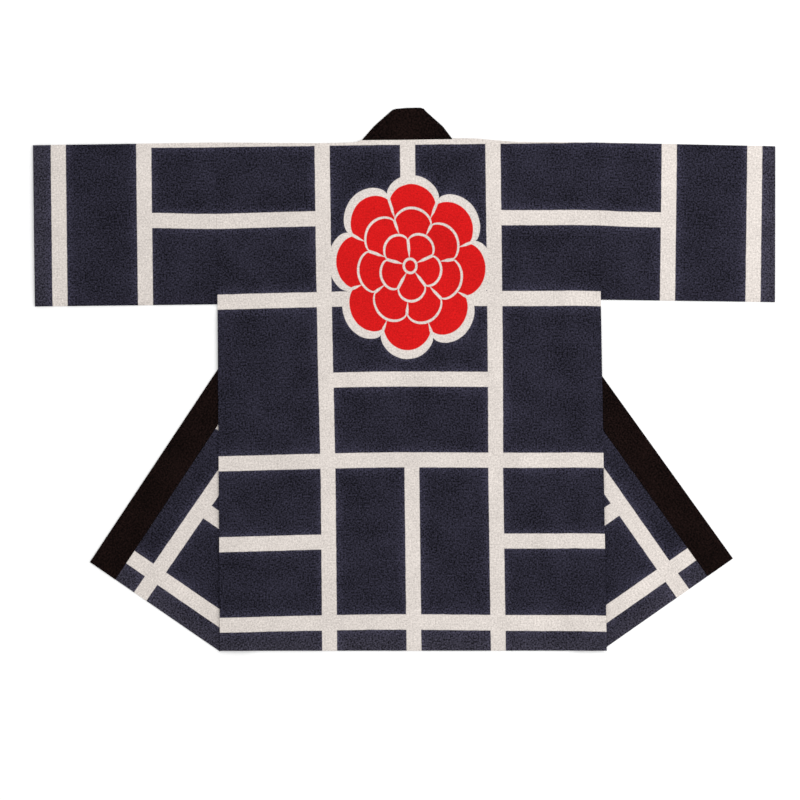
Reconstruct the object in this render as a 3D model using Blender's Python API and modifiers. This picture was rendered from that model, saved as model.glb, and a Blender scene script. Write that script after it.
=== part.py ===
import math

import bmesh
import bpy
import numpy as np
from mathutils import Vector

# Metres. The garment lies flat on z = 0 with its back up, and the hem is towards -Y.
CLOTH = 0.0012
BAND = 0.0020
GAP = 0.0003
LENGTH = 0.9080
UNDERARM_HALF = 0.3410
HEM_HALF = 0.3440
NECK_HALF = 0.0800
SLEEVE_DEPTH = 0.2900
BAND_WIDTH = 0.0550
BAND_PEAK = 0.0556

# How each half lies. sign: which way. front: side seam to free edge at the hem. angle: the front's fold from
# upright. lean: how much the front widens up from the hem. roll: distances out from the centre, and how far
# the shoulder fold sits below the shoulder line there. drop: how steeply the sleeve falls. cuff: the cuff's
# top from the centre. cuff_roll: as roll, at the cuff. cuff_lean: how much nearer the cuff's bottom is.
# hem: how far the hem hangs past the length. peak: the collar's free edge behind the neck, out and down.
SIDES = {
    "left": {
        "sign": -1,
        "front": 0.2812,
        "angle": math.radians(17.6),
        "lean": 0.0166,
        "roll": [(0.0800, 0.0), (0.0900, 0.0048), (0.1300, 0.0060), (0.3410, 0.0022)],
        "drop": 0.0,
        "cuff": 0.6660,
        "cuff_roll": 0.0030,
        "cuff_lean": 0.0,
        "hem": -0.0015,
        "peak": [(0.0190, -0.0541), (0.0245, -0.0528), (0.0298, -0.0488), (0.0585, -0.0240)],
    },
    "right": {
        "sign": 1,
        "front": 0.2745,
        "angle": math.radians(17.15),
        "lean": -0.0113,
        "roll": [(0.0800, 0.0), (0.1150, 0.0003), (0.1900, 0.0070), (0.3410, 0.0102)],
        "drop": 0.0260,
        "cuff": 0.6548,
        "cuff_roll": 0.0125,
        "cuff_lean": 0.0135,
        "hem": 0.0065,
        "peak": [(0.0240, -0.0556), (0.0300, -0.0536), (0.0348, -0.0482), (0.0636, -0.0219)],
    },
}
CENTRE_X = (SIDES["left"]["cuff"] - SIDES["right"]["cuff"]) / 2
SHOULDER_Y = (LENGTH + SIDES["right"]["hem"] - BAND_PEAK) / 2
HEM_REACH = 0.1300
SHOULDER_STRIP = 0.0100

# The collar's sewn edge behind the neck, out and down. FRONT_PAST is how far the front's cut runs on above
# the corner of its fold and the collar seam, and BAND_PAST how far the band's straight part does.
NECK_SEAM = [(0.0, 0.0080), (0.0090, 0.0085), (0.0150, 0.0110), (0.0200, 0.0145), (0.0255, 0.0195)]
FRONT_PAST = 0.0085
BAND_PAST = 0.0050

# Cloth over something else stays up for REACH past its edge, then comes down to the floor over RAMP. Its
# height is worked out on a lattice, of COLUMNS cells each way from the centre line and ROWS cells down.
COLUMN = 0.0290
COLUMNS = 13
ROW = 0.0293
ROWS = 32
REACH = 0.0420
RAMP = 0.0320
UNDER = BAND + GAP
STEP = CLOTH + GAP
WRAP = STEP / 2
FOLD = UNDER / 2
TOP = WRAP + CLOTH / 2
LAP = 0.0020

for old in list(bpy.data.objects):
    bpy.data.objects.remove(old, do_unlink=True)

garment = bpy.data.collections.new("hanten")
bpy.context.scene.collection.children.link(garment)


def fabric(name, colour, roughness):
    material = bpy.data.materials.new(name)
    material.use_nodes = True
    shader = material.node_tree.nodes["Principled BSDF"]
    shader.inputs["Base Color"].default_value = (*colour, 1.0)
    shader.inputs["Roughness"].default_value = roughness
    material.diffuse_color = (*colour, 1.0)
    return material


def add_object(name, mesh, material):
    data = bpy.data.meshes.new(name)
    mesh.to_mesh(data)
    mesh.free()
    data.materials.append(material)
    piece = bpy.data.objects.new(name, data)
    garment.objects.link(piece)
    return piece


def thicken(piece, thickness):
    wall = piece.modifiers.new("wall", "SOLIDIFY")
    wall.thickness = thickness
    wall.offset = 0.0
    wall.use_even_offset = True


def distance_outside(points, outline):
    # Distance from each point to a closed outline, and 0 for a point inside it
    start = np.array(outline)
    end = np.roll(start, -1, axis=0)
    along = end - start
    offset = points[:, None, :] - start
    share = np.clip((offset * along).sum(2) / (along**2).sum(1), 0, 1)
    nearest = np.linalg.norm(offset - share[:, :, None] * along, axis=2).min(axis=1)
    above = start[:, 1] > points[:, None, 1]
    crosses = above != (end[:, 1] > points[:, None, 1])
    rise = np.where(along[:, 1] == 0, 1.0, along[:, 1])
    where = start[:, 0] + (points[:, None, 1] - start[:, 1]) * along[:, 0] / rise
    inside = (crosses & (points[:, None, 0] < where)).sum(axis=1) % 2 == 1
    return np.where(inside, 0.0, nearest)


def drape(points, outlines):
    # 1 over the outlines and for REACH past them, falling smoothly to 0 over RAMP
    distance = np.min([distance_outside(points, outline) for outline in outlines], axis=0)
    rest = np.clip((REACH + RAMP - distance) / RAMP, 0, 1)
    return rest * rest * (3 - 2 * rest)


def fold_frame(side):
    # The side seam's foot, and the unit ways up the fold from there and across it to the part turned under
    foot = np.array([HEM_HALF, LENGTH])
    up = np.array([-math.sin(side["angle"]), -math.cos(side["angle"])])
    across = np.array([-math.cos(side["angle"]), math.sin(side["angle"])])
    return foot, up, across


def turned(side, out, down):
    # Where a point of the flat cut lies once the front is turned under
    foot, up, across = fold_frame(side)
    offset = np.array([out, down]) - foot
    place = foot + (offset @ up) * up - (offset @ across) * across
    return float(place[0]), float(place[1])


def seam_hem(side):
    # The collar seam's distance from the centre line at the hem, on the flat cut
    return HEM_HALF - side["front"] + BAND_WIDTH


def neck_corner(side):
    # Where the fold meets the collar seam, as distances out and down
    up = (HEM_HALF - seam_hem(side)) / (math.tan(side["angle"]) - side["lean"])
    return seam_hem(side) - side["lean"] * up, LENGTH - up


def front_outline(side):
    seam, corner = neck_corner(side)
    top = TOP + LAP + GAP
    return [
        (UNDERARM_HALF, top),
        (NECK_HALF, top),
        (seam - FRONT_PAST * side["lean"], corner - FRONT_PAST),
        (seam_hem(side), LENGTH),
        (HEM_HALF, LENGTH),
        (UNDERARM_HALF, SLEEVE_DEPTH),
    ]


def under_outline(side):
    # The part of a front that lies over its own turned part
    return [
        (UNDERARM_HALF, 0.0),
        (NECK_HALF, 0.0),
        neck_corner(side),
        (HEM_HALF, LENGTH),
        (UNDERARM_HALF, SLEEVE_DEPTH),
    ]


def flap_outline(side):
    return [neck_corner(side), (HEM_HALF, LENGTH), turned(side, seam_hem(side), LENGTH)]


def collar_edges(side):
    # Stations of the free edge and of the sewn edge, from the middle of the neck to the hem
    slant = 2 * side["angle"] - math.atan(side["lean"])
    run = np.array([-math.sin(slant), -math.cos(slant)])
    outward = np.array([math.cos(slant), -math.sin(slant)])
    free_hem = np.array(turned(side, HEM_HALF - side["front"], LENGTH))
    sewn_hem = np.array(turned(side, seam_hem(side), LENGTH)) + GAP * outward
    reach = (free_hem[1] - neck_corner(side)[1] + BAND_PAST) / math.cos(slant)
    merge = free_hem + reach * run
    start = np.array([NECK_HALF, 0.0])
    lean = (merge - start) / np.linalg.norm(merge - start)
    inward = np.array([-lean[1], lean[0]])
    free = [(0.0, -BAND_PEAK), *side["peak"]]
    sewn = [*NECK_SEAM]
    for share in (0.0, 0.25, 0.5, 0.75):
        place = start + share * (merge - start)
        free.append(tuple(place))
        sewn.append(tuple(place + BAND_WIDTH * inward))
    for share in np.linspace(0.94, 0.0, 11):
        free.append(tuple(free_hem + share * reach * run))
        sewn.append(tuple(sewn_hem + share * reach * run))
    return free, sewn


def collar_outline(side):
    free, sewn = collar_edges(side)
    return free + sewn[::-1]


def shoulder_roll(across, down):
    # A strip along the shoulder fold moves down as one, and the cloth below it takes that up gradually
    side = SIDES["right"] if across > 0 else SIDES["left"]
    outs, rolls = zip(*side["roll"])
    share = (SLEEVE_DEPTH - down) / (SLEEVE_DEPTH - SHOULDER_STRIP)
    return float(np.interp(abs(across), outs, rolls)) * min(max(share, 0.0), 1.0)


def hem_hang(across, down):
    # The hem's own slope from side to side, fading out over HEM_REACH above it
    share = (across + HEM_HALF) / (2 * HEM_HALF)
    most = SIDES["left"]["hem"] + share * (SIDES["right"]["hem"] - SIDES["left"]["hem"])
    return most * max(1 - (LENGTH - down) / HEM_REACH, 0.0) ** 2


def signed(outline, side):
    return [(side["sign"] * out, down) for out, down in outline]


columns = np.arange(-COLUMNS, COLUMNS + 1) * COLUMN
rows = np.arange(ROWS + 1) * ROW
lattice = np.stack(np.meshgrid(columns, rows, indexing="ij"), axis=-1).reshape(-1, 2)
collars = [signed(collar_outline(side), side) for side in SIDES.values()]
flaps = [signed(flap_outline(side), side) for side in SIDES.values()]
unders = [signed(under_outline(side), side) for side in SIDES.values()]
front_rise = UNDER * drape(lattice, collars + flaps)
over_fronts = (front_rise + STEP) * drape(lattice, unders)
back_rise = np.maximum(over_fronts, UNDER * drape(lattice, collars))
front_rise = front_rise.reshape(len(columns), len(rows))
back_rise = back_rise.reshape(len(columns), len(rows))


def height(rise, across, down):
    # The height of the draped lattice, which is flat on each half of a cell, cut from corner to corner
    column = across / COLUMN + COLUMNS
    row = max(down / ROW, 0.0)
    i = min(int(column), len(columns) - 2)
    j = min(int(row), len(rows) - 2)
    u = column - i
    v = row - j
    far = rise[i + 1, j + 1]
    if u >= v:
        near = rise[i + 1, j]
        return rise[i, j] + (near - rise[i, j]) * u + (far - near) * v
    near = rise[i, j + 1]
    return rise[i, j] + (near - rise[i, j]) * v + (far - near) * u


def flat_cut(outline):
    mesh = bmesh.new()
    corners = [mesh.verts.new((across, down, 0.0)) for across, down in outline]
    mesh.faces.new(corners)
    return mesh


def cut(mesh, point, normal, wanted):
    # Splits the wanted faces along the line through the point
    faces = [face for face in mesh.faces if wanted(face.calc_center_median())]
    edges = {edge for face in faces for edge in face.edges}
    corners = {corner for face in faces for corner in face.verts}
    bmesh.ops.bisect_plane(
        mesh,
        geom=[*faces, *edges, *corners],
        dist=2e-6,
        plane_co=(point[0], point[1], 0.0),
        plane_no=(normal[0], normal[1], 0.0),
    )


def cut_lattice(mesh, draped, whole):
    for down in rows[1:]:
        cut(mesh, (0.0, down), (0.0, 1.0), lambda centre: True)
    for across in columns:
        cut(mesh, (across, 0.0), (1.0, 0.0), whole)
    diagonals = COLUMNS + ROWS
    for step in range(-diagonals, diagonals + 1):
        cut(mesh, (step * COLUMN, 0.0), (ROW, -COLUMN), draped)


def make_back(material):
    # The flat cut, whose top strip wraps round the shoulder fold and laps over its inside
    lap_edge = TOP - math.pi * WRAP - LAP
    mesh = flat_cut(
        [
            (-UNDERARM_HALF, lap_edge),
            (-NECK_HALF, lap_edge),
            (-NECK_HALF, TOP),
            (NECK_HALF, TOP),
            (NECK_HALF, lap_edge),
            (UNDERARM_HALF, lap_edge),
            (UNDERARM_HALF, SLEEVE_DEPTH),
            (HEM_HALF, LENGTH),
            (-HEM_HALF, LENGTH),
            (-UNDERARM_HALF, SLEEVE_DEPTH),
        ]
    )
    for step in range(7):
        cut(mesh, (0.0, TOP - math.pi * WRAP * step / 6), (0.0, 1.0), lambda centre: True)
    cut_lattice(mesh, lambda centre: centre.y > TOP, lambda centre: True)
    for corner in mesh.verts:
        across, down, _ = corner.co
        turn = min(max((TOP - down) / WRAP, 0.0), math.pi)
        lap = max(TOP - math.pi * WRAP - down, 0.0)
        lies = max(down, TOP) - WRAP * math.sin(turn) + lap
        rise = height(back_rise, across, max(down, TOP) + lap)
        level = rise + CLOTH / 2 - WRAP * (1 - math.cos(turn))
        lies += shoulder_roll(across, down) + hem_hang(across, down)
        corner.co = Vector((across + CENTRE_X, SHOULDER_Y - lies, level))
    piece = add_object("back", mesh, material)
    thicken(piece, CLOTH)


def make_front(name, side, material):
    # The flat cut, folded under along a straight line from the side seam's foot to the neck
    foot, up, across_fold = fold_frame(side)
    half = math.pi * FOLD / 2
    sign = side["sign"]
    mesh = flat_cut(signed(front_outline(side), side))
    foot_point = (sign * foot[0], foot[1])
    normal = (sign * across_fold[0], across_fold[1])

    def over(point):
        return (point[0] - foot_point[0]) * normal[0] + (point[1] - foot_point[1]) * normal[1]

    def draped(centre):
        return over(centre) < -half

    for step in range(-3, 4):
        shift = half * step / 3
        point = (foot_point[0] + shift * normal[0], foot_point[1] + shift * normal[1])
        cut(mesh, point, normal, lambda centre: True)
    cut_lattice(mesh, draped, draped)
    for corner in mesh.verts:
        out = sign * corner.co.x
        down = corner.co.y
        offset = np.array([out, down]) - foot
        along = offset @ up
        beyond = offset @ across_fold
        turn = min(max((beyond + half) / FOLD, 0.0), math.pi)
        rise = UNDER if turn > 0 else height(front_rise, corner.co.x, down)
        if beyond > half:
            shown = -beyond
        else:
            shown = min(beyond, -half) + FOLD * math.sin(turn)
        place = foot + along * up + shown * across_fold
        level = rise + CLOTH / 2 - FOLD * (1 - math.cos(turn))
        lies = place[1] + shoulder_roll(sign * out, down)
        corner.co = Vector((sign * place[0] + CENTRE_X, SHOULDER_Y - lies, level))
    piece = add_object(name, mesh, material)
    thicken(piece, CLOTH)


def make_sleeve(name, side, material):
    # A flat ring of two layers and two folds, carried from the armhole out to the cuff
    arm = UNDERARM_HALF + GAP
    ring = []
    for down in np.linspace(TOP, SLEEVE_DEPTH - TOP, 7):
        ring.append((down, CLOTH / 2 + STEP))
    for turn in np.linspace(0, math.pi, 7)[1:-1]:
        ring.append((SLEEVE_DEPTH - TOP + WRAP * math.sin(turn), CLOTH / 2 + WRAP * (1 + math.cos(turn))))
    for down in np.linspace(SLEEVE_DEPTH - TOP, TOP, 7):
        ring.append((down, CLOTH / 2))
    for turn in np.linspace(0, math.pi, 7)[1:-1]:
        ring.append((TOP - WRAP * math.sin(turn), CLOTH / 2 + WRAP * (1 - math.cos(turn))))
    mesh = bmesh.new()
    loops = []
    for share in np.linspace(0, 1, 8):
        roll = side["roll"][-1][1] * (1 - share) + side["cuff_roll"] * share
        loop = []
        for down, level in ring:
            out = arm + share * (side["cuff"] - side["cuff_lean"] * down - arm)
            lies = down + roll * (1 - down / SLEEVE_DEPTH) + side["drop"] * (out - arm)
            loop.append(mesh.verts.new((side["sign"] * out + CENTRE_X, SHOULDER_Y - lies, level)))
        loops.append(loop)
    for near, far in zip(loops, loops[1:]):
        for k in range(len(ring)):
            after = (k + 1) % len(ring)
            mesh.faces.new((near[k], near[after], far[after], far[k]))
    bmesh.ops.recalc_face_normals(mesh, faces=mesh.faces)
    piece = add_object(name, mesh, material)
    thicken(piece, CLOTH)


def make_collar(material):
    # One band from hem to hem, between its free edge and its sewn edge
    mesh = bmesh.new()
    free = []
    sewn = []
    for side in (SIDES["left"], SIDES["right"]):
        edges = collar_edges(side)
        keep = slice(None, None, -1) if side["sign"] < 0 else slice(1, None)
        free += signed(edges[0], side)[keep]
        sewn += signed(edges[1], side)[keep]
    outer = [mesh.verts.new((out + CENTRE_X, SHOULDER_Y - down, BAND / 2)) for out, down in free]
    inner = [mesh.verts.new((out + CENTRE_X, SHOULDER_Y - down, BAND / 2)) for out, down in sewn]
    for k in range(len(outer) - 1):
        mesh.faces.new((inner[k], inner[k + 1], outer[k + 1], outer[k]))
    piece = add_object("collar", mesh, material)
    thicken(piece, BAND)
    edge = piece.modifiers.new("pressed_edge", "BEVEL")
    edge.width = 0.0005
    edge.segments = 2
    edge.limit_method = "ANGLE"
    edge.angle_limit = math.radians(50)


navy = fabric("navy_cotton", (0.026, 0.024, 0.036), 0.9)
black = fabric("black_cotton", (0.010, 0.006, 0.006), 0.85)
make_back(navy)
make_front("front_left", SIDES["left"], navy)
make_front("front_right", SIDES["right"], navy)
make_sleeve("sleeve_left", SIDES["left"], navy)
make_sleeve("sleeve_right", SIDES["right"], navy)
make_collar(black)
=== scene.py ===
import math

import bmesh
import bpy
import numpy as np
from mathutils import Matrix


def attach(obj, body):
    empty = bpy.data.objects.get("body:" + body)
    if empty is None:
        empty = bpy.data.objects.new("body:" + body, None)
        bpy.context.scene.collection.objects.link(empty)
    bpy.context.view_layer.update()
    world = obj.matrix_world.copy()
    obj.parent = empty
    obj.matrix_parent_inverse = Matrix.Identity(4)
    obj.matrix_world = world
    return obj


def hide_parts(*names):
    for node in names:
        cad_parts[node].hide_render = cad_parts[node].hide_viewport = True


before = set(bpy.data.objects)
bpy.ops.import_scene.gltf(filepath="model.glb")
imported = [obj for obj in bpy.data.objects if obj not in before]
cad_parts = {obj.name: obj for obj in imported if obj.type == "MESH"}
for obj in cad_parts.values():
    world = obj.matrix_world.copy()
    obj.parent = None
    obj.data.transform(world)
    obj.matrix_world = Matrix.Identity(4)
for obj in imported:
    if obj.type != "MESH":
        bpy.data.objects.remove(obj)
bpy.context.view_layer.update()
print("loaded the frame:", ", ".join(sorted(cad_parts)))

# The flat cut, in metres: out from the centre line, down from the shoulder line
lay = {
    "length": 0.9080,
    "bodyHalf": 0.3410,
    "hemHalf": 0.3440,
    "neckHalf": 0.0800,
    "sleeveDepth": 0.2900,
    "bandWidth": 0.0550,
    "bandPeak": 0.0556,
    "hemReach": 0.1300,
    "shoulderStrip": 0.0100,
    "cloth": 0.0012,
    "band": 0.0020,
    "gap": 0.0003,
    "seam": 0.00004,
    "lap": 0.0020,  # the back's strip under the shoulder
    "frontPast": 0.0085,  # how far the front's cut runs on above the corner of its fold and the collar seam
    "bandPast": 0.0050,  # how far the band's straight part runs on above it
    "neckSeam": [(0.0, 0.0080), (0.0090, 0.0085), (0.0150, 0.0110), (0.0200, 0.0145), (0.0255, 0.0195)],
    "slantShares": (0.0, 0.25, 0.5, 0.75),  # the band's stations from the neck to its straight part
    "straightFrom": 0.94,
    "straightStations": 11,
    "reach": 0.0420,
    "ramp": 0.0320,
}

# How each half lies. front: side seam to free edge at the hem. angle: the front's fold from upright.
# lean: how much the front widens up from the hem. roll: distances out, and how far the shoulder fold sits
# below the shoulder line. drop: how steeply the sleeve falls. cuff: the cuff's top from the centre line.
# cuffLean: how much nearer its bottom is. grainLean: the lean of the threads along the sleeve.
# hem: how far the hem hangs past the length. peak: the collar's free edge behind the neck.
sides = {
    "Left": {
        "sign": -1,
        "front": 0.2812,
        "angle": math.radians(17.6),
        "lean": 0.0166,
        "roll": [(0.0800, 0.0), (0.0900, 0.0048), (0.1300, 0.0060), (0.3410, 0.0022)],
        "drop": 0.0,
        "cuff": 0.6660,
        "cuffRoll": 0.0030,
        "cuffLean": 0.0,
        "grainLean": 0.0,
        "hem": -0.0015,
        "peak": [(0.0190, -0.0541), (0.0245, -0.0528), (0.0298, -0.0488), (0.0585, -0.0240)],
    },
    "Right": {
        "sign": 1,
        "front": 0.2745,
        "angle": math.radians(17.15),
        "lean": -0.0113,
        "roll": [(0.0800, 0.0), (0.1150, 0.0003), (0.1900, 0.0070), (0.3410, 0.0102)],
        "drop": 0.0260,
        "cuff": 0.6548,
        "cuffRoll": 0.0125,
        "cuffLean": 0.0135,
        "grainLean": 0.0235,
        "hem": 0.0065,
        "peak": [(0.0240, -0.0556), (0.0300, -0.0536), (0.0348, -0.0482), (0.0636, -0.0219)],
    },
}
centreX = (sides["Left"]["cuff"] - sides["Right"]["cuff"]) / 2
shoulderY = (lay["length"] + sides["Right"]["hem"] - lay["bandPeak"]) / 2
under = lay["band"] + lay["gap"]
step = lay["cloth"] + lay["gap"]
wrap = step / 2
fold = under / 2
top = wrap + lay["cloth"] / 2
foldFoot = np.array([lay["hemHalf"], lay["length"]])


def foldFrame(side):
    # unit ways up the front's fold line and across it to the part turned under
    up = np.array([-math.sin(side["angle"]), -math.cos(side["angle"])])
    over = np.array([-math.cos(side["angle"]), math.sin(side["angle"])])
    return up, over


def turnedUnder(side, out, down):
    # a point mirrored across the fold line: foot + along * up - across * over
    up, over = foldFrame(side)
    offset = np.array([out, down]) - foldFoot
    return foldFoot + (offset @ up) * up - (offset @ over) * over


def distanceOutside(points, outline):
    # distance to the nearest edge of a closed outline, 0 where an upward ray count says the point is inside
    start = np.array(outline)
    end = np.roll(start, -1, axis=0)
    along = end - start
    nearest = np.full(points.shape[:-1], 1e9)
    crossings = np.zeros(points.shape[:-1], dtype=int)
    for a, b, way in zip(start, end, along):
        offset = points - a
        share = np.clip((offset @ way) / (way @ way), 0, 1)
        nearest = np.minimum(nearest, np.linalg.norm(offset - share[..., None] * way, axis=-1))
        rise = way[1] if way[1] else 1.0
        crosses = (a[1] > points[..., 1]) != (b[1] > points[..., 1])
        crossings += crosses & (points[..., 0] < a[0] + (points[..., 1] - a[1]) * way[0] / rise)
    return np.where(crossings % 2 == 1, 0.0, nearest)


def drape(points, outlines):
    # 1 over the outlines and for a short reach past them, then 3r^2 - 2r^3 down to 0 over the ramp
    distance = np.min([distanceOutside(points, outline) for outline in outlines], axis=0)
    rest = np.clip((lay["reach"] + lay["ramp"] - distance) / lay["ramp"], 0, 1)
    return rest * rest * (3 - 2 * rest)


def seamFoot(side):
    # the collar seam's distance from the centre line at the hem
    return lay["hemHalf"] - side["front"] + lay["bandWidth"]


def foldTop(side):
    # where the fold line meets the collar seam, out and down
    up = (lay["hemHalf"] - seamFoot(side)) / (math.tan(side["angle"]) - side["lean"])
    return seamFoot(side) - side["lean"] * up, lay["length"] - up


def underOutline(side):
    # the part of a front that lies over its own turned part
    return [
        (lay["bodyHalf"], 0.0),
        (lay["neckHalf"], 0.0),
        foldTop(side),
        (lay["hemHalf"], lay["length"]),
        (lay["bodyHalf"], lay["sleeveDepth"]),
    ]


def flapOutline(side):
    # the part turned out past the side seam
    corner = turnedUnder(side, seamFoot(side), lay["length"])
    return [foldTop(side), (lay["hemHalf"], lay["length"]), tuple(corner)]


def collarEdges(side):
    # stations of the free edge and the sewn edge, from the middle of the neck down to the hem
    slant = 2 * side["angle"] - math.atan(side["lean"])
    run = np.array([-math.sin(slant), -math.cos(slant)])
    outward = np.array([math.cos(slant), -math.sin(slant)])
    freeHem = turnedUnder(side, lay["hemHalf"] - side["front"], lay["length"])
    sewnHem = turnedUnder(side, seamFoot(side), lay["length"]) + lay["seam"] * outward
    reach = (freeHem[1] - foldTop(side)[1] + lay["bandPast"]) / math.cos(slant)
    start = np.array([lay["neckHalf"], 0.0])
    merge = freeHem + reach * run
    lean = (merge - start) / np.linalg.norm(merge - start)
    inward = np.array([-lean[1], lean[0]])
    free = [(0.0, -lay["bandPeak"]), *side["peak"]]
    sewn = [*lay["neckSeam"]]
    for share in lay["slantShares"]:
        place = start + share * (merge - start)
        free.append(tuple(place))
        sewn.append(tuple(place + lay["bandWidth"] * inward))
    for share in np.linspace(lay["straightFrom"], 0.0, lay["straightStations"]):
        free.append(tuple(freeHem + share * reach * run))
        sewn.append(tuple(sewnHem + share * reach * run))
    return np.array(free), np.array(sewn)


def mirrored(outline, side):
    # an outline on its own side: out * sign
    return [(side["sign"] * out, down) for out, down in outline]


collarOutlines = []
flapOutlines = []
underOutlines = []
for side in sides.values():
    free, sewn = collarEdges(side)
    collarOutlines.append(mirrored(np.vstack([free, sewn[::-1]]), side))
    flapOutlines.append(mirrored(flapOutline(side), side))
    underOutlines.append(mirrored(underOutline(side), side))


def frontRise(points):
    # how far the upper part of a front is lifted: under * drape over the collar and the turned-out parts
    return under * drape(points, collarOutlines + flapOutlines)


def backRise(points):
    # the larger of (frontRise + step) * drape over the fronts and under * drape over the collar
    overFronts = (frontRise(points) + step) * drape(points, underOutlines)
    return np.maximum(overFronts, under * drape(points, collarOutlines))


def shoulderRoll(across, down):
    # the shoulder fold sits lower than the neck: roll * (depth - down) / (depth - strip), from 0 to roll
    rolls = [np.interp(np.abs(across), *zip(*side["roll"])) for side in (sides["Left"], sides["Right"])]
    share = (lay["sleeveDepth"] - down) / (lay["sleeveDepth"] - lay["shoulderStrip"])
    return np.where(across > 0, rolls[1], rolls[0]) * np.clip(share, 0, 1)


def hemHang(across, down):
    # the hem's own slope, fading as the square of the way up from it
    share = (across + lay["hemHalf"]) / (2 * lay["hemHalf"])
    most = sides["Left"]["hem"] + share * (sides["Right"]["hem"] - sides["Left"]["hem"])
    return most * np.clip(1 - (lay["length"] - down) / lay["hemReach"], 0, 1) ** 2


# The cloth lies a few millimetres off straight, which shows in its dyed lines. rows: distance from the centre
# line, and how far below straight they lie. closer: distance down, and how much nearer the columns lie.
# over: distance down, and how far to the right they lie.
drift = {
    "rows": [
        (-0.445, -0.0014),
        (-0.403, 0.0),
        (-0.380, 0.0019),
        (-0.339, 0.0019),
        (-0.253, 0.0003),
        (-0.168, -0.0007),
        (-0.061, -0.0020),
        (0.046, -0.0008),
        (0.131, 0.0008),
        (0.238, 0.0023),
        (0.325, 0.0021),
        (0.347, 0.0048),
        (0.430, 0.0058),
    ],
    "closer": [(0.200, 0.001), (0.400, 0.006), (0.600, 0.019), (0.900, 0.013)],
    "over": [(0.0, 0.0003), (0.250, 0.0005), (0.500, 0.0012)],
    "startsDown": 0.080,
    "averaged": (-0.036, -0.018, 0.0, 0.018, 0.036),
}


def rowDrift(across, down):
    # the rows' table averaged over a hand's width, times down / start up to 1, so the shoulder line stays
    near = [np.interp(across + shift, *zip(*drift["rows"])) for shift in drift["averaged"]]
    return np.mean(near, axis=0) * np.clip(down / drift["startsDown"], 0, 1)


def columnDrift(across, down):
    # out on the cut of a point that lies at across: (across - over) * (1 + closer)
    return (across - np.interp(down, *zip(*drift["over"]))) * (1 + np.interp(down, *zip(*drift["closer"])))


def softWaves(across, down, waves):
    # sum of height * (1 + sin(2 pi (across * cos + down * sin) / length + phase)) / 2, so never below 0
    total = np.zeros_like(across)
    for height, length, turn, phase in waves:
        way = across * math.cos(turn) + down * math.sin(turn)
        total += height * (1 + np.sin(2 * math.pi * way / length + phase)) / 2
    return total


def spaced(start, end, pitch, edge=(0.0001, 0.0003, 0.0007, 0.0020)):
    # even steps of about one pitch, with a few close ones at both ends where the edge is rounded
    inner = np.array(edge)
    count = max(2, round((end - start - 2 * inner[-1]) / pitch))
    middle = np.linspace(start + inner[-1], end - inner[-1], count + 1)
    return np.concatenate([[start], start + inner[:-1], middle, end - inner[:-1][::-1], [end]])


def roundedEdge(distance, half, least=0.12):
    # half a wall's thickness near its edge: half * sqrt(1 - (1 - d / half)^2), and at least a small share
    share = np.clip(distance / half, 0, 1)
    return half * np.maximum(np.sqrt(1 - (1 - share) ** 2), least)


def surfaceNormals(middle, around):
    # cross product of the two central differences of the grid
    down = np.gradient(middle, axis=0)
    if around:
        across = np.roll(middle, -1, axis=1) - np.roll(middle, 1, axis=1)
    else:
        across = np.gradient(middle, axis=1)
    normal = np.cross(down, across)
    length = np.linalg.norm(normal, axis=-1, keepdims=True)
    return normal / np.maximum(length, 1e-12)


def gridQuads(rows, cols, around):
    # four corners for each cell of a grid numbered row by row, whose last column meets the first if around
    index = np.arange(rows * cols).reshape(rows, cols)
    if around:
        index = np.concatenate([index, index[:, :1]], axis=1)
    corners = (index[:-1, :-1], index[1:, :-1], index[1:, 1:], index[:-1, 1:])
    return np.stack(corners, axis=-1)


def makeCloth(name, middle, half, cut, material, keep=None, around=False):
    # a wall: the middle surface moved half a thickness both ways along its normal, closed by a rim of quads
    rows, cols = middle.shape[:2]
    normal = surfaceNormals(middle, around)
    outer = (middle + normal * half[..., None]).reshape(-1, 3)
    inner = (middle - normal * half[..., None]).reshape(-1, 3)
    quads = gridQuads(rows, cols, around)
    if keep is not None:
        quads = quads[keep]
    quads = quads.reshape(-1, 4)
    count = rows * cols
    edges = np.concatenate([quads[:, [0, 1]], quads[:, [1, 2]], quads[:, [2, 3]], quads[:, [3, 0]]])
    lonely = ~np.isin(edges[:, 1] * count + edges[:, 0], edges[:, 0] * count + edges[:, 1])
    rim = edges[lonely]
    rimQuads = np.stack([rim[:, 1], rim[:, 0], rim[:, 0] + count, rim[:, 1] + count], axis=-1)
    faces = np.concatenate([quads, quads[:, ::-1] + count, rimQuads])
    verts = np.concatenate([outer, inner])
    used = np.unique(faces)
    remap = np.full(len(verts), -1)
    remap[used] = np.arange(len(used))
    faces = remap[faces]
    mesh = bpy.data.meshes.new(name)
    mesh.from_pydata(verts[used].tolist(), [], faces.tolist())
    flatCut = np.concatenate([cut.reshape(-1, 2)] * 2)[used]
    layer = mesh.uv_layers.new(name="cutPattern")
    layer.data.foreach_set("uv", flatCut[faces.reshape(-1)].astype(np.float32).ravel())
    mesh.polygons.foreach_set("use_smooth", np.ones(len(faces), dtype=bool))
    piece = bpy.data.objects.new(name, mesh)
    bpy.context.scene.collection.objects.link(piece)
    mesh.materials.append(material)
    mesh.validate()
    mesh.update()
    return piece


def toWorld(across, down, level):
    # x = across + centre, y = shoulder - down, z = level
    return np.stack([across + centreX, shoulderY - down, level], axis=-1)


def makeNode(tree, kind, **values):
    # a new node with some of its own settings
    node = tree.nodes.new(kind)
    for key, value in values.items():
        setattr(node, key, value)
    return node


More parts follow.
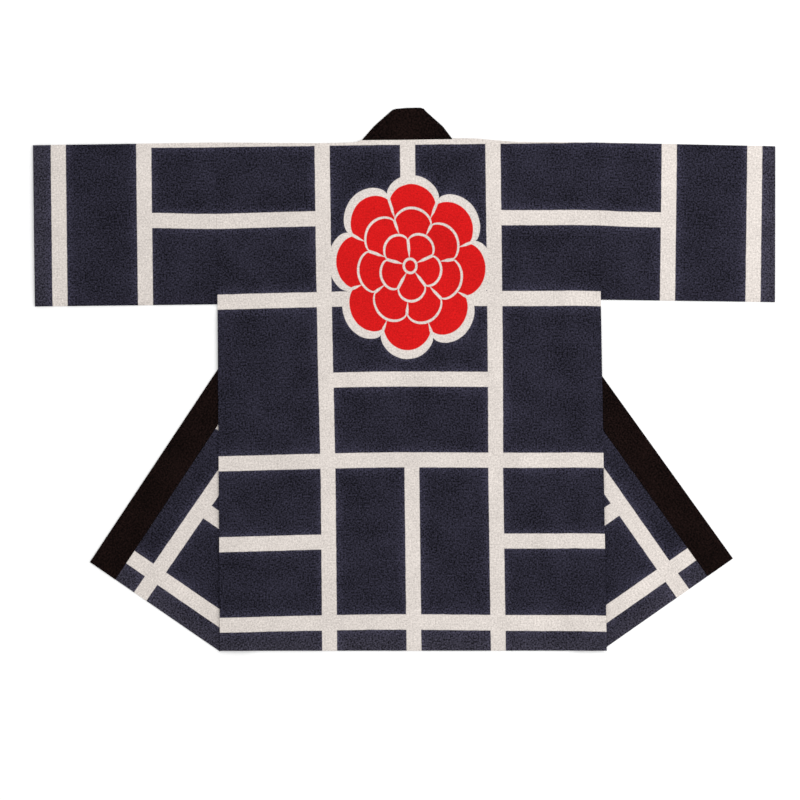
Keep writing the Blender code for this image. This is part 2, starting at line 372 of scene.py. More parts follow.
def calc(tree, operation, *inputs):
    # one Math node; an input is a number or another node's output
    node = tree.nodes.new("ShaderNodeMath")
    node.operation = operation
    for socket, value in zip(node.inputs, inputs):
        if isinstance(value, (int, float)):
            socket.default_value = value
        else:
            tree.links.new(value, socket)
    return node.outputs[0]


def kept(tree, value):
    # a value kept from 0 to 1
    node = makeNode(tree, "ShaderNodeClamp")
    tree.links.new(value, node.inputs["Value"])
    return node.outputs[0]


def largest(tree, masks):
    # the largest of several outputs
    total = masks[0]
    for mask in masks[1:]:
        total = calc(tree, "MAXIMUM", total, mask)
    return total


def makeBarGroup(softness, reach):
    # d = min(halfU - |u - midU|, halfV - |v - midV|) is the depth inside a bar: mask is d / softness + 0.5
    # and near is d / reach + 1, both kept from 0 to 1
    group = bpy.data.node_groups.new("dyedBar", "ShaderNodeTree")
    for label in ("u", "v", "midU", "midV", "halfU", "halfV"):
        group.interface.new_socket(label, in_out="INPUT", socket_type="NodeSocketFloat")
    for label in ("mask", "near"):
        group.interface.new_socket(label, in_out="OUTPUT", socket_type="NodeSocketFloat")
    given = group.nodes.new("NodeGroupInput").outputs
    given = {socket.name: socket for socket in given}
    depths = []
    for axis in ("U", "V"):
        away = calc(group, "ABSOLUTE", calc(group, "SUBTRACT", given[axis.lower()], given["mid" + axis]))
        depths.append(calc(group, "SUBTRACT", given["half" + axis], away))
    inside = calc(group, "MINIMUM", *depths)
    mask = kept(group, calc(group, "MULTIPLY_ADD", inside, 1 / softness, 0.5))
    near = kept(group, calc(group, "MULTIPLY_ADD", inside, 1 / reach, 1.0))
    result = group.nodes.new("NodeGroupOutput")
    group.links.new(mask, result.inputs["mask"])
    group.links.new(near, result.inputs["near"])
    return group


def barMask(tree, group, u, v, bar):
    # one dyed bar: the masks inside it and near it
    uLow, uHigh, vLow, vHigh = bar
    node = makeNode(tree, "ShaderNodeGroup", node_tree=group)
    tree.links.new(u, node.inputs["u"])
    tree.links.new(v, node.inputs["v"])
    node.inputs["midU"].default_value = (uLow + uHigh) / 2
    node.inputs["midV"].default_value = (vLow + vHigh) / 2
    node.inputs["halfU"].default_value = (uHigh - uLow) / 2
    node.inputs["halfV"].default_value = (vHigh - vLow) / 2
    return node.outputs["mask"], node.outputs["near"]


def noise(tree, vector, scale, detail=2.0, roughness=0.5, offset=(0.0, 0.0, 0.0), stretch=(1.0, 1.0, 1.0)):
    # noise at vector * stretch + offset, a given number of spots per metre
    place = makeNode(tree, "ShaderNodeMapping")
    place.inputs["Location"].default_value = offset
    place.inputs["Scale"].default_value = stretch
    tree.links.new(vector, place.inputs["Vector"])
    node = makeNode(tree, "ShaderNodeTexNoise")
    node.inputs["Scale"].default_value = scale
    node.inputs["Detail"].default_value = detail
    node.inputs["Roughness"].default_value = roughness
    tree.links.new(place.outputs[0], node.inputs["Vector"])
    return node.outputs["Fac"]


def mixColour(tree, mask, first, second):
    # first * (1 - mask) + second * mask
    node = makeNode(tree, "ShaderNodeMix", data_type="RGBA")
    tree.links.new(mask, node.inputs["Factor"])
    for socket, value in ((node.inputs["A"], first), (node.inputs["B"], second)):
        if isinstance(value, tuple):
            socket.default_value = (*value, 1.0)
        else:
            tree.links.new(value, socket)
    return node.outputs["Result"]


weave = {
    "pitch": 0.00085,
    "bump": 0.00018,
    "grainPerMetre": 340.0,
    "slubPerMetre": 240.0,
    "blotsPerMetre": 16.0,
    "patchesPerMetre": 6.0,
    "wanderPerMetre": 55.0,
    "darkest": 0.15,
    # painted shade on the weave: how much lighter the threads' crossings are, and how much darker the hollows
    # between them
    "paintedWeaveShade": 0.06,
    "slubRelief": 0.8,
    "reliefStrength": 0.5,
}


def scaled(tree, colour, factor):
    # a colour, or a colour output, times a value
    node = makeNode(tree, "ShaderNodeVectorMath", operation="SCALE")
    if isinstance(colour, tuple):
        node.inputs[0].default_value = colour
    else:
        tree.links.new(colour, node.inputs[0])
    tree.links.new(factor, node.inputs["Scale"])
    return node.outputs[0]


def grained(tree, colour, pattern, strength):
    # unevenly dyed yarn: colour * (1 + strength * (noise - 0.5)), with a fifth of that for the wide blots,
    # and never less than the darkest share of the colour
    fine = noise(tree, pattern, weave["grainPerMetre"], 2.0, 0.6, (0.2, 0.9, 0.0))
    blots = noise(tree, pattern, weave["blotsPerMetre"], 2.0, 0.6, (0.5, 0.6, 0.0))
    shade = calc(tree, "MULTIPLY_ADD", fine, strength, 1 - strength / 2)
    shade = calc(tree, "ADD", shade, calc(tree, "MULTIPLY_ADD", blots, strength / 5, -strength / 10))
    return scaled(tree, colour, calc(tree, "MAXIMUM", shade, weave["darkest"]))


def weaveRelief(tree, u, v, pattern):
    # plain weave: over and under threads, sin(pi u / pitch) * sin(pi v / pitch), and thick and thin yarns
    warp = calc(tree, "SINE", calc(tree, "MULTIPLY", u, math.pi / weave["pitch"]))
    weft = calc(tree, "SINE", calc(tree, "MULTIPLY", v, math.pi / weave["pitch"]))
    threads = calc(tree, "MULTIPLY", warp, weft)
    slubAcross = noise(tree, pattern, weave["slubPerMetre"], 3.0, 0.6, (0.3, 0.1, 0.0), (0.25, 3.0, 1.0))
    slubDown = noise(tree, pattern, weave["slubPerMetre"], 3.0, 0.6, (0.7, 0.4, 0.0), (3.0, 0.25, 1.0))
    return threads, calc(tree, "ADD", slubAcross, slubDown)


def finishCloth(tree, u, v, pattern, colour, settings):
    # colour * (1 + slub * (yarns - 1) + fade * (patches - 0.5) + paintedWeaveShade * threads), then the weave's
    # bump, threads + slubRelief * yarns
    threads, slubs = weaveRelief(tree, u, v, pattern)
    patches = noise(tree, pattern, weave["patchesPerMetre"], 2.0, 0.5, (1.7, 0.2, 0.0))
    fade = calc(tree, "MULTIPLY_ADD", patches, settings["fade"], -settings["fade"] / 2)
    shade = calc(tree, "MULTIPLY_ADD", slubs, settings["slub"], 1.0 - settings["slub"])
    shade = calc(tree, "ADD", shade, fade)
    # painted shade: the colour is lighter where the weave's threads rise and darker between them, following
    # the same relief as the bump
    shade = calc(tree, "ADD", shade, calc(tree, "MULTIPLY", threads, weave["paintedWeaveShade"]))
    shader = tree.nodes["Principled BSDF"]
    tree.links.new(scaled(tree, colour, shade), shader.inputs["Base Color"])
    shader.inputs["Roughness"].default_value = settings["roughness"]
    shader.inputs["Specular IOR Level"].default_value = settings["specular"]
    relief = calc(tree, "ADD", threads, calc(tree, "MULTIPLY", slubs, weave["slubRelief"]))
    bump = makeNode(tree, "ShaderNodeBump")
    bump.inputs["Strength"].default_value = weave["reliefStrength"]
    bump.inputs["Distance"].default_value = weave["bump"]
    tree.links.new(relief, bump.inputs["Height"])
    tree.links.new(bump.outputs[0], shader.inputs["Normal"])


def startCloth(name):
    # a new material, and the flat cut's own metres: u out from the centre line and v down
    material = bpy.data.materials.new(name)
    material.use_nodes = True
    tree = material.node_tree
    pattern = makeNode(tree, "ShaderNodeUVMap", uv_map="cutPattern").outputs[0]
    parts = makeNode(tree, "ShaderNodeSeparateXYZ")
    tree.links.new(pattern, parts.inputs[0])
    return material, tree, pattern, parts.outputs["X"], parts.outputs["Y"]


def wander(tree, value, pattern, offset, amount):
    # a place moved by up to the amount, so that dyed edges stray by a thread or so
    shift = noise(tree, pattern, weave["wanderPerMetre"], 3.0, 0.6, (offset, offset / 2, 0.0))
    return calc(tree, "ADD", value, calc(tree, "MULTIPLY_ADD", shift, 2 * amount, -amount))


dye = {
    "navy": (0.0170, 0.0160, 0.0264),
    "white": (0.625, 0.573, 0.535),
    "red": (0.565, 0.0080, 0.0085),
    "black": (0.0064, 0.0031, 0.0027),
    "edgeSoftness": 0.0011,
    "edgeWander": 0.0007,
    "paleReach": 0.022,
    "paler": 0.85,
    "wornReach": 0.060,
    "worn": (0.0160, 0.0148, 0.0180),
    "navyGrain": 6.2,
    "lineGrain": 1.1,
    "blackGrain": 7.0,
}
navyFinish = {"slub": 0.40, "fade": 0.16, "roughness": 0.90, "specular": 0.06}
blackFinish = {"slub": 0.50, "fade": 0.20, "roughness": 0.85, "specular": 0.03}
barGroup = makeBarGroup(dye["edgeSoftness"], dye["paleReach"])
wornGroup = makeBarGroup(dye["edgeSoftness"], dye["wornReach"])

# The dyed lines: one width, rows a fixed pitch apart, all in metres on the flat cut. Ends at 1.0, 0.5, -0.5
# and -0.05 lie past the cloth.
lines = {
    "half": 0.01335,
    "firstRow": -0.0030,
    "rowPitch": 0.1438,
    "bodyOut": 0.1520,
    "frontIn": 0.0536,
    "sleeveOut": {"Left": 0.4690, "Right": 0.4663},
}


def rowBar(number, low, high):
    # a line across, with its middle at firstRow + number * rowPitch
    middle = lines["firstRow"] + number * lines["rowPitch"]
    return (low, high, middle - lines["half"], middle + lines["half"])


def columnBar(out, low=-0.05, high=1.0):
    # a line down, with its middle at out
    return (out - lines["half"], out + lines["half"], low, high)


def backBars():
    inner = lines["bodyOut"]
    row = lines["firstRow"] + 4 * lines["rowPitch"]
    return [
        columnBar(-inner),
        columnBar(inner),
        columnBar(0.0, -0.05, 0.20),
        columnBar(0.0, row, 1.0),
        rowBar(0, -0.5, 0.5),
        rowBar(1, -0.5, -inner),
        rowBar(1, inner, 0.5),
        rowBar(2, -0.5, 0.5),
        rowBar(3, -inner, inner),
        rowBar(4, -0.5, 0.5),
        rowBar(5, -0.5, -inner),
        rowBar(5, inner, 0.5),
        rowBar(6, -0.5, 0.5),
    ]


def frontBars(side):
    line = seamFoot(side) + lines["frontIn"]
    return [
        columnBar(line),
        rowBar(0, 0.0, 0.5),
        rowBar(1, line, 0.5),
        rowBar(2, 0.0, 0.5),
        rowBar(3, 0.0, line),
        rowBar(4, 0.0, 0.5),
        rowBar(5, line, 0.5),
        rowBar(6, 0.0, 0.5),
    ]


def sleeveBars(label):
    first = lines["sleeveOut"][label]
    return [
        columnBar(first),
        columnBar(first + lines["bodyOut"]),
        rowBar(0, 0.0, first),
        rowBar(1, 0.0, first),
    ]


# The blossom: rings of petals from the outside in, radii as shares of its half size
blossom = {
    "across": 0.0020,
    "down": 0.2270,
    "halfWidth": 0.1330,
    "halfHeight": 0.1480,
    "outline": 0.0150,
    "veinHalf": 0.0022,
    "veinWiden": 1.15,
    "veinTaper": 0.16,
    "petalRound": 0.6,
    "lobes": 3.0,
    "lobeTurn": 0.7,
    "lobeSize": 0.018,
    "rings": [
        {"petals": 8, "radius": 0.80, "bulge": 0.20, "turn": 0.25},
        {"petals": 7, "radius": 0.56, "bulge": 0.15, "turn": 1.10},
        {"petals": 5, "radius": 0.30, "bulge": 0.12, "turn": 0.60},
    ],
    "heart": 0.085,
}


def blossomMasks(tree, u, v):
    # polar petals, r = (radius + bulge * |cos(n angle / 2 + turn)|^petalRound) * lean, where lean is
    # 1 + lobeSize * sin(lobes * angle + lobeTurn), with white lines where rings and petals meet
    size = (blossom["halfWidth"] + blossom["halfHeight"]) / 2
    soft = dye["edgeSoftness"] / size
    vein = blossom["veinHalf"] / size
    x = calc(tree, "DIVIDE", calc(tree, "SUBTRACT", u, blossom["across"]), blossom["halfWidth"])
    y = calc(tree, "DIVIDE", calc(tree, "SUBTRACT", blossom["down"], v), blossom["halfHeight"])
    radius = calc(tree, "SQRT", calc(tree, "ADD", calc(tree, "MULTIPLY", x, x), calc(tree, "MULTIPLY", y, y)))
    angle = calc(tree, "ARCTAN2", y, x)
    lobes = calc(tree, "SINE", calc(tree, "MULTIPLY_ADD", angle, blossom["lobes"], blossom["lobeTurn"]))
    lean = calc(tree, "MULTIPLY_ADD", lobes, blossom["lobeSize"], 1.0)

    def mask(inside):
        return kept(tree, calc(tree, "MULTIPLY_ADD", inside, 1 / soft, 0.5))

    def ringLine(edge):
        # a white line along a ring's edge: half width - |r - edge|
        away = calc(tree, "ABSOLUTE", calc(tree, "SUBTRACT", radius, edge))
        return mask(calc(tree, "SUBTRACT", vein, away))

    edges = []
    beats = []
    for ring in blossom["rings"]:
        turned = calc(tree, "MULTIPLY_ADD", angle, ring["petals"] / 2, ring["turn"])
        beat = calc(tree, "ABSOLUTE", calc(tree, "COSINE", turned))
        bulge = calc(tree, "MULTIPLY", calc(tree, "POWER", beat, blossom["petalRound"]), ring["bulge"])
        edges.append(calc(tree, "MULTIPLY", calc(tree, "ADD", bulge, ring["radius"]), lean))
        beats.append(beat)
    red = mask(calc(tree, "SUBTRACT", edges[0], radius))
    depth = calc(tree, "SUBTRACT", calc(tree, "ADD", edges[0], blossom["outline"] / size), radius)
    halo = mask(depth)
    near = kept(tree, calc(tree, "MULTIPLY_ADD", depth, size / dye["paleReach"], 1.0))
    inners = [*edges[1:], blossom["heart"]]
    veins = [ringLine(inner) for inner in inners]
    for ring, beat, edge, inner in zip(blossom["rings"], beats, edges, inners):
        # from the petals' meeting points inwards: the distance to that ray is about r * |cos| / (n / 2)
        away = calc(tree, "DIVIDE", calc(tree, "MULTIPLY", radius, beat), ring["petals"] / 2)
        inward = calc(tree, "SUBTRACT", radius, inner)
        taper = calc(tree, "MULTIPLY", inward, blossom["veinTaper"])
        width = calc(tree, "MINIMUM", taper, vein * blossom["veinWiden"])
        between = mask(calc(tree, "MINIMUM", inward, calc(tree, "SUBTRACT", edge, radius)))
        veins.append(calc(tree, "MULTIPLY", between, mask(calc(tree, "SUBTRACT", width, away))))
    return halo, near, red, largest(tree, veins)


def wornHem():
    # past the hem, so that the cloth pales towards it
    return (-0.5, 0.5, lay["length"], 1.0)


def wornCuff(side):
    # past the cuff
    return (side["cuff"], 1.0, -0.05, 0.5)


def dyedCloth(name, bars, wornEdge, withBlossom=False):
    # the navy is paler towards the undyed lines and a worn edge:
    # navy * (1 + paler * near^2) + worn * nearEdge
    material, tree, pattern, u, v = startCloth(name)
    wanderU = wander(tree, u, pattern, 3.1, dye["edgeWander"])
    wanderV = wander(tree, v, pattern, 7.7, dye["edgeWander"])
    lineMasks, nears = zip(*[barMask(tree, barGroup, wanderU, wanderV, bar) for bar in bars])
    if withBlossom:
        halo, nearBlossom, red, veins = blossomMasks(tree, wanderU, wanderV)
        lineMasks += (halo,)
        nears += (nearBlossom,)
    near = calc(tree, "POWER", largest(tree, nears), 2.0)
    nearEdge = barMask(tree, wornGroup, u, v, wornEdge)[1]
    pale = scaled(tree, dye["navy"], calc(tree, "MULTIPLY_ADD", near, dye["paler"], 1.0))
    faded = makeNode(tree, "ShaderNodeVectorMath", operation="ADD")
    tree.links.new(pale, faded.inputs[0])
    tree.links.new(scaled(tree, dye["worn"], nearEdge), faded.inputs[1])
    navy = grained(tree, faded.outputs[0], pattern, dye["navyGrain"])
    white = grained(tree, dye["white"], pattern, dye["lineGrain"])
    colour = mixColour(tree, largest(tree, lineMasks), navy, white)
    if withBlossom:
        colour = mixColour(tree, red, colour, grained(tree, dye["red"], pattern, dye["lineGrain"]))
        colour = mixColour(tree, calc(tree, "MULTIPLY", veins, red), colour, white)
    finishCloth(tree, u, v, pattern, colour, navyFinish)
    return material


def plainCloth(name, colour):
    # one colour, grained, with the same weave
    material, tree, pattern, u, v = startCloth(name)
    finishCloth(tree, u, v, pattern, grained(tree, colour, pattern, dye["blackGrain"]), blackFinish)
    return material


backShape = {
    "pitch": 0.0060,
    "neckPoints": 28,
    "foldPoints": 9,
    "lapRows": (1.0, 0.85, 0.6, 0.3),  # shares of the lap
    "waves": [(0.0007, 0.310, 0.35, 0.4), (0.0006, 0.190, 1.90, 2.1), (0.0004, 0.120, 2.60, 0.9)],
    "waveFade": 0.030,
    "hemDepth": 0.0180,
    "hemStep": 0.0015,
    "hemRaise": 0.0004,
    "restsOn": ["front_left", "front_right", "collar"],
}


def makeBack():
    # rows run from the strip lapped under the shoulder, round the fold (a half circle), then down to the hem;
    # level = drape + half the wall + waves, less wrap * (1 - cos turn) round the fold
    arc = np.linspace(math.pi, 0, backShape["foldPoints"])
    lap = lay["lap"] * np.array(backShape["lapRows"])
    flat = spaced(top, lay["length"], backShape["pitch"])[1:]
    stripRows = len(lap) + len(arc)
    down = np.concatenate([top + lap, top - wrap * np.sin(arc), flat])
    turn = np.concatenate([np.full(len(lap), math.pi), arc, np.zeros(len(flat))])
    cutDown = np.concatenate([top - math.pi * wrap - lap, top - arc * wrap, flat])
    taper = np.clip((down - lay["sleeveDepth"]) / (lay["length"] - lay["sleeveDepth"]), 0, 1)
    bodyHalf = lay["bodyHalf"] + taper * (lay["hemHalf"] - lay["bodyHalf"])
    neck = lay["neckHalf"]
    side = spaced(neck, lay["bodyHalf"], backShape["pitch"])
    middle = np.linspace(-neck, neck, backShape["neckPoints"])
    share = (side - neck) / (lay["bodyHalf"] - neck)
    outer = neck + share[None, :] * (bodyHalf[:, None] - neck)
    across = np.concatenate([-outer[:, ::-1], np.tile(middle[1:-1], (len(down), 1)), outer], axis=1)
    downGrid = np.tile(down[:, None], (1, across.shape[1]))
    turnGrid = np.tile(turn[:, None], (1, across.shape[1]))
    cutGrid = np.tile(cutDown[:, None], (1, across.shape[1]))

    # the wall: half its thickness, thicker over the doubled hem, and rounded off towards each edge
    hem = np.clip((downGrid - (lay["length"] - backShape["hemDepth"])) / backShape["hemStep"], 0, 1)
    wall = lay["cloth"] / 2 + hem * backShape["hemRaise"] / 2
    sideEdge = bodyHalf[:, None] - np.abs(across)
    beside = np.abs(across) - neck
    neckEdge = np.where(beside < 0, downGrid - top, np.hypot(beside, downGrid - top))
    neckEdge = np.where((turnGrid > 0) & (beside >= 0), beside, neckEdge)
    edge = np.minimum(sideEdge, lay["length"] - downGrid)
    edge = np.minimum(edge, np.minimum(cutGrid - cutDown[0], neckEdge))
    thick = roundedEdge(np.maximum(edge, 0), wall)

    fadeIn = np.clip(np.minimum(sideEdge, downGrid - top) / backShape["waveFade"], 0, 1)
    wave = softWaves(across, downGrid, backShape["waves"]) * fadeIn
    flatPlace = np.stack([across, np.maximum(downGrid, top)], axis=-1)
    level = backRise(flatPlace) + wall + wave - wrap * (1 - np.cos(turnGrid))
    keep = np.ones((across.shape[0] - 1, across.shape[1] - 1), dtype=bool)
    centres = (across[:-1, :-1] + across[:-1, 1:]) / 2
    keep[: stripRows - 1] = np.abs(centres[: stripRows - 1]) > neck
    roll = shoulderRoll(across, cutGrid)
    lies = downGrid + roll + hemHang(across, downGrid)
    cut = np.stack([columnDrift(across, lies), cutGrid + roll - rowDrift(across, cutGrid)], axis=-1)
    material = dyedCloth("navyBackDyed", backBars(), wornHem(), withBlossom=True)
    piece = makeCloth("backPanel", toWorld(across, lies, level), thick, cut, material, keep)
    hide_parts("back")
    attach(piece, "root")
    half = [(0, 0), (neck, 0), (neck, cutDown[0]), (lay["bodyHalf"], cutDown[0])]
    half += [(lay["bodyHalf"], lay["sleeveDepth"]), (lay["hemHalf"], lay["length"]), (0, lay["length"])]


frontShape = {
    "rows": 120,
    "pitch": 0.0070,
    "foldPoints": 11,
    "closeRows": (0.0, 0.0001, 0.0003, 0.0007),
    "closeShare": 0.01,
    "waves": [(0.0004, 0.260, 2.20, 1.0), (0.0003, 0.150, 0.90, 0.3)],
    "waveFade": 0.030,
    "edgeFade": 0.020,
    "mergeWithin": 4e-6,
    "dissolveWithin": 2e-6,
}


def frontCorners(side):
    topEdge = top + lay["lap"] + lay["seam"]
    seamOut, seamDown = foldTop(side)
    return {
        "shoulder": (lay["bodyHalf"], topEdge),
        "neck": (lay["neckHalf"], topEdge),
        "seamTop": (seamOut - lay["frontPast"] * side["lean"], seamDown - lay["frontPast"]),
        "seamFoot": (seamFoot(side), lay["length"]),
        "sideFoot": tuple(foldFoot),
        "underarm": (lay["bodyHalf"], lay["sleeveDepth"]),
    }


def makeFront(label, side):
    # columns run along the fold line: t is the distance across it and s the distance up it from the side
    # seam's foot. A point lies at foot + s * up + shown * over, where shown is t mirrored past the fold.
    upFold, overFold = foldFrame(side)
    bend = math.pi * fold / 2
    corners = frontCorners(side)
    st = {}
    for key, place in corners.items():
        offset = np.array(place) - foldFoot
        st[key] = (float(offset @ overFold), float(offset @ upFold))
    lowest = [st["shoulder"], st["underarm"], st["sideFoot"], st["seamFoot"]]
    highest = [st["shoulder"], st["neck"], st["seamTop"], st["seamFoot"]]
    arc = np.linspace(-bend, bend, frontShape["foldPoints"])
    turnedOver = spaced(st["shoulder"][0], -bend, frontShape["pitch"])
    turnedOut = spaced(bend, st["seamFoot"][0], frontShape["pitch"])
    kinks = [st["neck"][0], st["seamTop"][0], st["underarm"][0]]
    t = np.unique(np.concatenate([turnedOver, arc, turnedOut, kinks]))
    low = np.interp(t, *np.array(lowest).T)
    high = np.interp(t, *np.array(highest).T)
    reach = high - low
    close = np.array(frontShape["closeRows"])
    even = np.linspace(0, 1, frontShape["rows"])
    most = reach[None, :] * frontShape["closeShare"] * np.arange(len(close))[:, None]
    near = np.minimum(close[:, None], most)
    body = near[-1] + even[1:-1, None] * (reach - 2 * near[-1])[None, :]
    s = low[None, :] + np.concatenate([near, body, (reach - near)[::-1]], axis=0)
    tGrid = np.tile(t[None, :], (s.shape[0], 1))
    turn = np.clip((tGrid + bend) / fold, 0, math.pi)
    shown = np.where(tGrid > bend, -tGrid, np.minimum(tGrid, -bend) + fold * np.sin(turn))
    cut = foldFoot + s[..., None] * upFold + tGrid[..., None] * overFold
    place = foldFoot + s[..., None] * upFold + shown[..., None] * overFold
    across = side["sign"] * place[..., 0]
    rise = np.where(turn > 0, under, frontRise(np.stack([across, place[..., 1]], axis=-1)))
    wall = lay["cloth"] / 2
    edge = np.minimum(s - low[None, :], high[None, :] - s)
    edge = np.minimum(edge, np.minimum(tGrid - t[0], t[-1] - tGrid))
    thick = roundedEdge(edge, wall)
    fadeIn = np.clip((tGrid - bend) / frontShape["waveFade"], 0, 1)
    fadeIn = fadeIn * np.clip(edge / frontShape["edgeFade"], 0, 1)
    wave = softWaves(cut[..., 0], cut[..., 1], frontShape["waves"]) * fadeIn
    level = rise + wall + wave - fold * (1 - np.cos(turn))
    roll = shoulderRoll(side["sign"] * cut[..., 0], cut[..., 1])
    middle = toWorld(across, place[..., 1] + roll, level)
    if side["sign"] > 0:
        middle, thick, cut = middle[:, ::-1], thick[:, ::-1], cut[:, ::-1]
    material = dyedCloth("navyFront" + label, frontBars(side), wornHem())
    piece = makeCloth("front" + label, middle, thick, cut, material)
    mergeCorners(piece)
    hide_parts("front_" + label.lower())
    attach(piece, "root")


def mergeCorners(piece):
    # the columns shrink to a point at two corners, so their points become one there
    work = bmesh.new()
    work.from_mesh(piece.data)
    bmesh.ops.remove_doubles(work, verts=work.verts, dist=frontShape["mergeWithin"])
    bmesh.ops.dissolve_degenerate(work, edges=work.edges, dist=frontShape["dissolveWithin"])
    work.to_mesh(piece.data)
    work.free()


sleeveShape = {
    "pitch": 0.0060,
    "layerPoints": 48,
    "foldPoints": 9,
    "puff": 0.0012,
    "puffFade": 0.040,
    "waves": [(0.0005, 0.210, 0.80, 1.4), (0.0004, 0.130, 2.30, 0.2)],
}


def makeSleeve(label, side):
    # a flat ring of upper layer, lower fold, under layer and shoulder fold, carried from the armhole out
    # to the cuff; the upper layer rises by (puff + waves) * sqrt(sin(pi down / depth))
    deep = lay["sleeveDepth"]
    wall = lay["cloth"] / 2
    run = np.linspace(top, deep - top, sleeveShape["layerPoints"])
    bend = np.linspace(0, math.pi, sleeveShape["foldPoints"])[1:-1]
    ringDown = np.concatenate([run, deep - top + wrap * np.sin(bend), run[::-1], top - wrap * np.sin(bend)])
    upper = np.full(len(run), wall + step)
    lowerFold = wall + wrap * (1 + np.cos(bend))
    lower = np.full(len(run), wall)
    shoulderFold = wall + wrap * (1 - np.cos(bend))
    ringLevel = np.concatenate([upper, lowerFold, lower, shoulderFold])
    isUpper = np.arange(len(ringDown)) < len(run)
    arm = lay["bodyHalf"] + lay["seam"]
    out = spaced(arm, side["cuff"], sleeveShape["pitch"])
    outGrid = np.tile(out[:, None], (1, len(ringDown)))
    downGrid = np.tile(ringDown[None, :], (len(out), 1))
    fadeIn = np.clip((outGrid - arm) / sleeveShape["puffFade"], 0, 1)
    swell = np.sin(math.pi * np.clip(downGrid / deep, 0, 1)) ** 0.5
    wave = softWaves(outGrid, downGrid, sleeveShape["waves"]) + sleeveShape["puff"]
    level = ringLevel[None, :] + isUpper[None, :] * wave * fadeIn * swell
    along = (outGrid - arm) / (side["cuff"] - arm)
    roll = side["roll"][-1][1] * (1 - along) + side["cuffRoll"] * along
    outLies = outGrid - along * side["cuffLean"] * downGrid
    cutDown = downGrid + roll * (1 - downGrid / deep)
    lies = cutDown + side["drop"] * (outLies - arm)
    thick = roundedEdge(np.minimum(outGrid - arm, side["cuff"] - outGrid), wall)
    middle = toWorld(side["sign"] * outLies, lies, level)
    dyedDown = cutDown - rowDrift(side["sign"] * outLies, cutDown)
    cut = np.stack([outLies + side["grainLean"] * downGrid, dyedDown], axis=-1)
    if side["sign"] > 0:
        middle, thick, cut = middle[::-1], thick[::-1], cut[::-1]
    material = dyedCloth("navySleeve" + label, sleeveBars(label), wornCuff(side))
    piece = makeCloth("sleeve" + label, middle, thick, cut, material, around=True)
    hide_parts("sleeve_" + label.lower())
    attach(piece, "root")


collarShape = {"pitch": 0.0050, "across": 0.0040, "groove": 0.00025, "grooveIn": 0.0030, "grooveHalf": 0.0008}


def makeCollar():
    # stations from hem to hem, each a straight line: free + share * (sewn - free), with a sewing groove
    free = []
    sewn = []
    for side in (sides["Left"], sides["Right"]):
        edgeFree, edgeSewn = collarEdges(side)
        signs = np.array([side["sign"], 1])
        order = slice(None, None, -1) if side["sign"] < 0 else slice(1, None)
        free.append((edgeFree * signs)[order])
        sewn.append((edgeSewn * signs)[order])
    free = np.concatenate(free)
    sewn = np.concatenate(sewn)
    lengths = np.linalg.norm(np.diff((free + sewn) / 2, axis=0), axis=1)
    along = np.concatenate([[0.0], np.cumsum(lengths)])
    station = spaced(0.0, along[-1], collarShape["pitch"])
    station = np.unique(np.concatenate([station, along]))
    freeAt = np.stack([np.interp(station, along, free[:, k]) for k in (0, 1)], axis=-1)
    sewnAt = np.stack([np.interp(station, along, sewn[:, k]) for k in (0, 1)], axis=-1)
    width = lay["bandWidth"]
    share = spaced(0.0, width, collarShape["across"]) / width
    place = freeAt[:, None, :] + share[None, :, None] * (sewnAt - freeAt)[:, None, :]
    wall = lay["band"] / 2
    edge = np.minimum(share * width, (1 - share) * width)[None, :]
    edge = np.minimum(edge, np.minimum(station, along[-1] - station)[:, None])
    fromGroove = (1 - share) * width - collarShape["grooveIn"]
    groove = np.exp(-((fromGroove / collarShape["grooveHalf"]) ** 2))
    thick = roundedEdge(edge, wall) - groove[None, :] * collarShape["groove"] / 2
    level = np.full(place.shape[:2], wall)
    cut = np.stack(np.broadcast_arrays(station[:, None], share[None, :] * width), axis=-1)
    material = plainCloth("blackBandCotton", dye["black"])
    piece = makeCloth("collarBand", toWorld(place[..., 0], place[..., 1], level), thick, cut, material)
    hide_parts("collar")
    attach(piece, "root")


makeBack()
print("back panel done")
for label, side in sides.items():
    makeFront(label, side)
print("fronts done")
for label, side in sides.items():
    makeSleeve(label, side)
print("sleeves done")
makeCollar()
print("collar done")

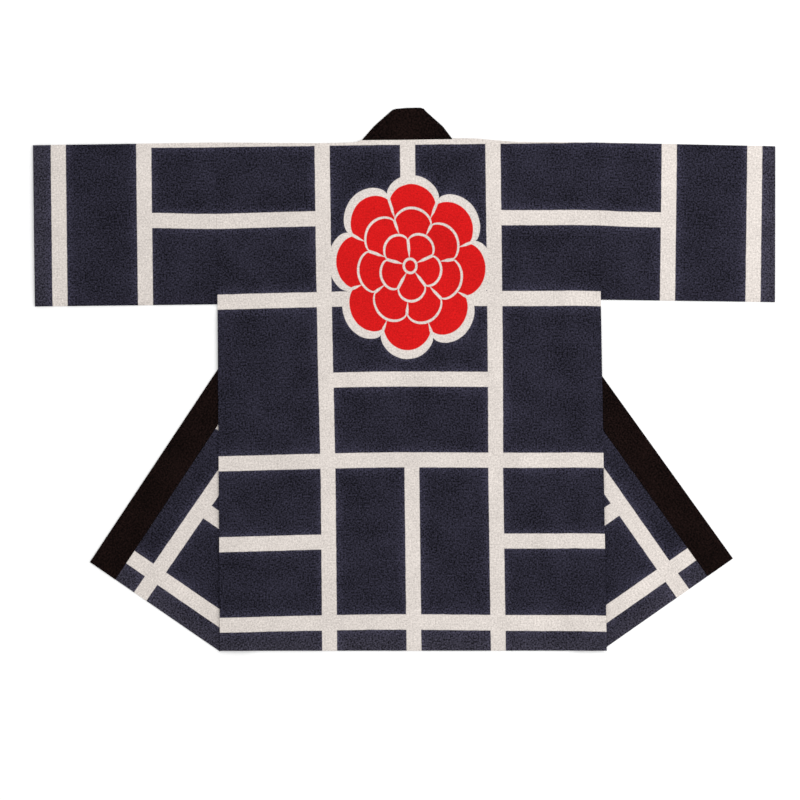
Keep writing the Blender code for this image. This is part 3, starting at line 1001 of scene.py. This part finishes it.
studio = {
    "floor": (0.95, 0.95, 0.95),
    "floorRoughness": 0.9,
    "floorHalf": 8.0,
    "floorLevel": -0.0004,
    "world": 0.93,
    "keyPower": 31.0,
    "keyPlace": (1.6, 0.50, 1.75),
    "keySize": 2.4,
    "sensor": 36.0,
    "pixels": 800,
    "metresPerPixel": 0.00178,
    "aim": (-0.0128, -0.0347),
    "roll": -0.0120,
    "height": 6.0,
}


def makeStudio():
    # a pale floor, even light from all round, one soft lamp, and a camera straight above
    size = studio["floorHalf"]
    outline = ((-size, -size), (size, -size), (size, size), (-size, size))
    corners = [(x, y, studio["floorLevel"]) for x, y in outline]
    mesh = bpy.data.meshes.new("paleFloor")
    mesh.from_pydata(corners, [], [(0, 1, 2, 3)])
    floor = bpy.data.objects.new("paleFloor", mesh)
    bpy.context.scene.collection.objects.link(floor)
    paint = bpy.data.materials.new("paleFloorPaint")
    paint.use_nodes = True
    shader = paint.node_tree.nodes["Principled BSDF"]
    shader.inputs["Base Color"].default_value = (*studio["floor"], 1.0)
    shader.inputs["Roughness"].default_value = studio["floorRoughness"]
    mesh.materials.append(paint)
    world = bpy.data.worlds.new("softStudio")
    world.use_nodes = True
    sky = world.node_tree.nodes["Background"]
    sky.inputs["Color"].default_value = (1.0, 1.0, 1.0, 1.0)
    sky.inputs["Strength"].default_value = studio["world"]
    bpy.context.scene.world = world
    light = bpy.data.lights.new("softKey", "AREA")
    light.energy = studio["keyPower"]
    light.size = studio["keySize"]
    key = bpy.data.objects.new("softKey", light)
    key.location = studio["keyPlace"]
    way = -np.array(studio["keyPlace"])
    key.rotation_euler = (math.atan2(math.hypot(way[0], way[1]), -way[2]), 0.0, math.atan2(-way[0], way[1]))
    bpy.context.scene.collection.objects.link(key)
    lens = bpy.data.cameras.new("viewFromAbove")
    lens.sensor_width = studio["sensor"]
    lens.lens = studio["sensor"] * studio["height"] / (studio["metresPerPixel"] * studio["pixels"])
    camera = bpy.data.objects.new("viewFromAbove", lens)
    camera.location = (*studio["aim"], studio["height"])
    camera.rotation_euler = (0.0, 0.0, studio["roll"])
    bpy.context.scene.collection.objects.link(camera)
    bpy.context.scene.camera = camera
    bpy.context.scene.view_settings.view_transform = "Standard"


makeStudio()
print("studio done")
